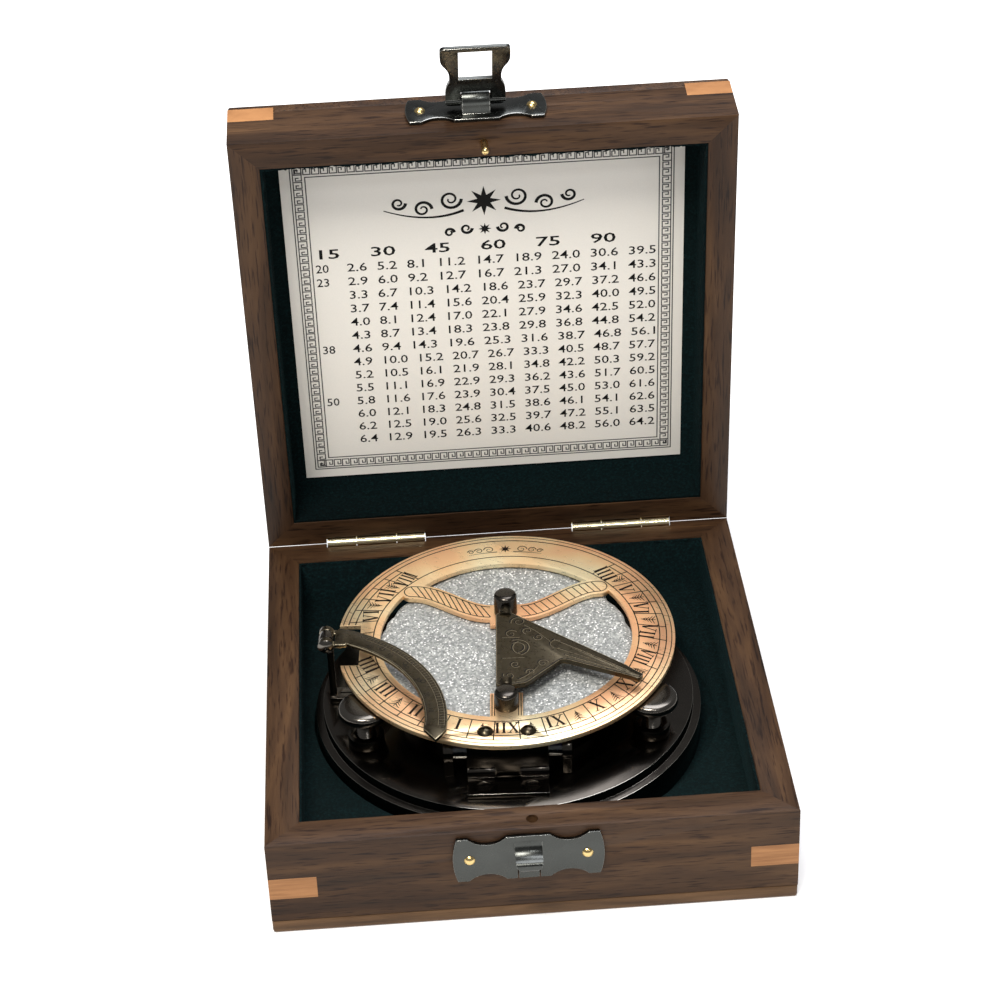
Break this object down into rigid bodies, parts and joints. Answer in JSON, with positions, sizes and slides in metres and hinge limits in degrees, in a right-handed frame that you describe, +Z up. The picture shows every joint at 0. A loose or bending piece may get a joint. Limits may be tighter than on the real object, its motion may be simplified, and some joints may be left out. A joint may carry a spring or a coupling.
{
  "type": "sundial compass",
  "caption": "Folding pocket sundial with compass, spirit level and levelling screws, lying in a felt-lined wooden case with a hinged lid and hasp.",
  "frame": {"origin": "centre of the underside of the case's bottom board", "axes": "+X to the right along the front, +Y to the back where the lid is hinged, +Z up"},
  "size_m": [0.132, 0.1577, 0.1833],
  "materials": {
    "walnut": "satin oiled",
    "pale_wood": "matt",
    "felt": "short pile",
    "brass": "worn satin",
    "dark_steel": "dark, satin",
    "black_bronze": "polished to a mirror, near black",
    "antique_bronze": "antique bronze, patinated",
    "copper": "brushed, copper-coloured",
    "bright_brass": "polished, knurled",
    "glass": "clear",
    "blue_liquid": "clear blue",
    "foam": "foamed, cellular",
    "card": "printed",
    "compass_card": "printed",
    "blued_steel": "blued"
  },
  "bodies": {
    "case": {"bottom_board": "pale_wood", "front_wall": "walnut", "back_wall": "walnut", "left_wall": "walnut", "right_wall": "walnut", "corner_keys": "pale_wood", "well_block": "pale_wood", "well_felt": "felt", "lower_hinge_leaves": "brass", "hinge_pins": "brass", "lower_hinge_screws": "brass", "catch_hook_plate": "dark_steel", "lower_catch_nails": "brass"},
    "lid": {"lid_panel": "walnut", "lid_front_wall": "walnut", "lid_back_wall": "walnut", "lid_left_wall": "walnut", "lid_right_wall": "walnut", "lid_corner_keys": "pale_wood", "lid_felt": "felt", "instruction_card": "card", "locating_pin": "brass", "upper_hinge_leaves": "brass", "upper_hinge_screws": "brass", "catch_loop_plate": "dark_steel", "upper_catch_nails": "brass"},
    "hasp_body": {"hasp": "dark_steel"},
    "instrument": {"base_plate": "black_bronze", "screw_bosses": "antique_bronze", "compass_bowl": "black_bronze", "compass_card": "compass_card", "needle_pivot": "brass", "compass_glass": "glass", "glass_ring": "antique_bronze", "foam_pad": "foam", "level_vial": "glass", "level_liquid": "blue_liquid", "level_brackets": "antique_bronze", "dial_lower_leaf": "antique_bronze", "dial_hinge_pin": "brass", "lower_leaf_screws": "brass", "arc_bracket": "antique_bronze", "arc_bracket_screw": "brass"},
    "dial": {"dial_upper_leaf": "antique_bronze", "hour_ring": "copper", "ring_screws": "brass", "gnomon_posts": "antique_bronze", "gnomon_pins": "brass"},
    "gnomon_body": {"gnomon": "antique_bronze"},
    "arc_body": {"latitude_arc": "antique_bronze", "arc_pivot_pin": "brass"},
    "needle_body": {"needle": "blued_steel", "needle_cap": "brass"},
    "right_screw": {"right_shank": "dark_steel"},
    "left_screw": {"left_shank": "dark_steel"},
    "back_screw": {"back_shank": "dark_steel"},
    "right_grip": {"right_knob": "bright_brass"},
    "left_grip": {"left_knob": "bright_brass"},
    "back_grip": {"back_knob": "bright_brass"}
  },
  "joints": [
    {"name": "lid_hinge", "type": "hinge", "parent": "case", "child": "lid", "pos_m": [0, 0.066, 0.0282], "axis": [-1, 0, 0], "range_deg": [-85, 10]},
    {"name": "hasp_hinge", "type": "hinge", "parent": "lid", "child": "hasp_body", "pos_m": [-0.0014, 0.06437, 0.16387], "axis": [-1, 0, 0], "range_deg": [-66, 95]},
    {"name": "instrument_lift", "type": "slide", "parent": "case", "child": "instrument", "axis": [0, 0, 1], "range_m": [0, 0.06]},
    {"name": "dial_tilt", "type": "hinge", "parent": "instrument", "child": "dial", "pos_m": [-0.00426, -0.03533, 0.0224], "axis": [0.998, -0.0628, 0], "range_deg": [0, 37]},
    {"name": "arc_swing", "type": "hinge", "parent": "instrument", "child": "arc_body", "pos_m": [-0.04934, 0.00308, 0.0396], "axis": [-0.0628, -0.998, 0], "range_deg": [0, 99.9]},
    {"name": "gnomon_fold", "type": "hinge", "parent": "dial", "child": "gnomon_body", "pos_m": [-0.0043, -0.03594, 0.03689], "axis": [-0.0627, -0.9971, -0.0426], "range_deg": [0, 90]},
    {"name": "needle_turn", "type": "hinge", "parent": "instrument", "child": "needle_body", "pos_m": [-0.002, 0.0006, 0.0253], "axis": [0, 0, 1], "continuous": true},
    {"name": "right_screw_travel", "type": "slide", "parent": "instrument", "child": "right_screw", "axis": [0, 0, 1], "range_m": [-0.0042, 0.0003]},
    {"name": "right_knob_turn", "type": "hinge", "parent": "right_screw", "child": "right_grip", "pos_m": [0.03432, -0.02088, 0.0303], "axis": [0, 0, 1], "range_deg": [-1890, 135]},
    {"name": "left_screw_travel", "type": "slide", "parent": "instrument", "child": "left_screw", "axis": [0, 0, 1], "range_m": [-0.0042, 0.0003]},
    {"name": "left_knob_turn", "type": "hinge", "parent": "left_screw", "child": "left_grip", "pos_m": [-0.04028, -0.01717, 0.0303], "axis": [0, 0, 1], "range_deg": [-1890, 135]},
    {"name": "back_screw_travel", "type": "slide", "parent": "instrument", "child": "back_screw", "axis": [0, 0, 1], "range_m": [-0.0042, 0.0003]},
    {"name": "back_knob_turn", "type": "hinge", "parent": "back_screw", "child": "back_grip", "pos_m": [-0.00009, 0.04276, 0.0303], "axis": [0, 0, 1], "range_deg": [-1890, 135]}
  ],
  "couplings": [
    {"joint": "arc_swing", "follows": "dial_tilt", "ratio": 2.7},
    {"joint": "right_knob_turn", "follows": "right_screw_travel", "rad_per_m": 7854},
    {"joint": "left_knob_turn", "follows": "left_screw_travel", "rad_per_m": 7854},
    {"joint": "back_knob_turn", "follows": "back_screw_travel", "rad_per_m": 7854}
  ]
}
